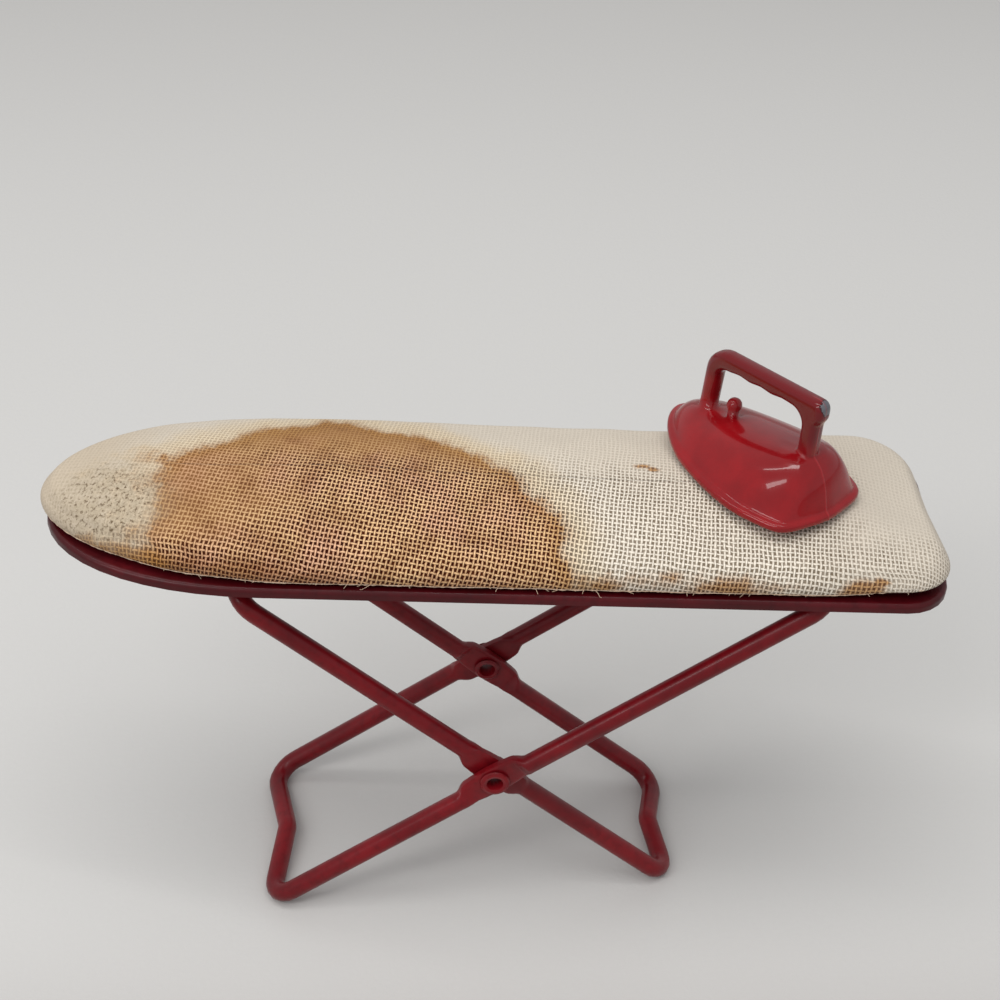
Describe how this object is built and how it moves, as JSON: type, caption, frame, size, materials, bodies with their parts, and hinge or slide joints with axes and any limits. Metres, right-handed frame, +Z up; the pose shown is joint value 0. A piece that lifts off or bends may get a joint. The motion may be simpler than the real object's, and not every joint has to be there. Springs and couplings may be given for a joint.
{
  "type": "dollhouse ironing board",
  "caption": "Dollhouse ironing board with a cloth pad on an enamelled tin tray, folding crossed wire legs with riveted pivots, and a loose toy iron.",
  "frame": {"origin": "Centre of the footprint of the bounding box, on the surface that the feet stand on, with the stand open.", "axes": "+X along the board to its square tail, with the rounded nose at -X; +Y across the board, away from the iron's heel side; +Z up."},
  "size_m": [0.1146, 0.0316, 0.0786],
  "materials": {
    "enamel": "glossy dark red enamel on tinplate and steel wire",
    "cloth": "open plain-woven cotton, off-white with a brown stain",
    "filling": "cotton wadding",
    "card": "grey-brown card",
    "iron_enamel": "glossy bright red enamel on die-cast metal"
  },
  "bodies": {
    "board": {"tray": "enamel", "pad_cover": "cloth", "pad_filling": "filling", "pad_card": "card", "hinge_clip": "enamel", "slide_track": "enamel", "clip_rivet_1": "enamel", "clip_rivet_2": "enamel", "track_rivet_1": "enamel", "track_rivet_2": "enamel"},
    "outer_frame": {"outer_leg": "enamel", "leg_rivet_far": "enamel", "leg_rivet_near": "enamel"},
    "inner_frame": {"inner_leg": "enamel"},
    "loose_iron": {"iron": "iron_enamel"}
  },
  "joints": [
    {"name": "leg_fold", "type": "hinge", "parent": "board", "child": "outer_frame", "pos_m": [0.04211, 0, 0.05311], "axis": [0, 1, 0], "range_deg": [0, 32.3]},
    {"name": "leg_scissor", "type": "hinge", "parent": "outer_frame", "child": "inner_frame", "pos_m": [0.00015, 0, 0.02274], "axis": [0, 1, 0], "range_deg": [-64.6, 0]},
    {"name": "iron_lift", "type": "slide", "parent": "board", "child": "loose_iron", "axis": [0.0523, 0, 0.9986], "range_m": [0, 0.06]}
  ],
  "couplings": [
    {"joint": "leg_scissor", "follows": "leg_fold", "ratio": -2}
  ]
}
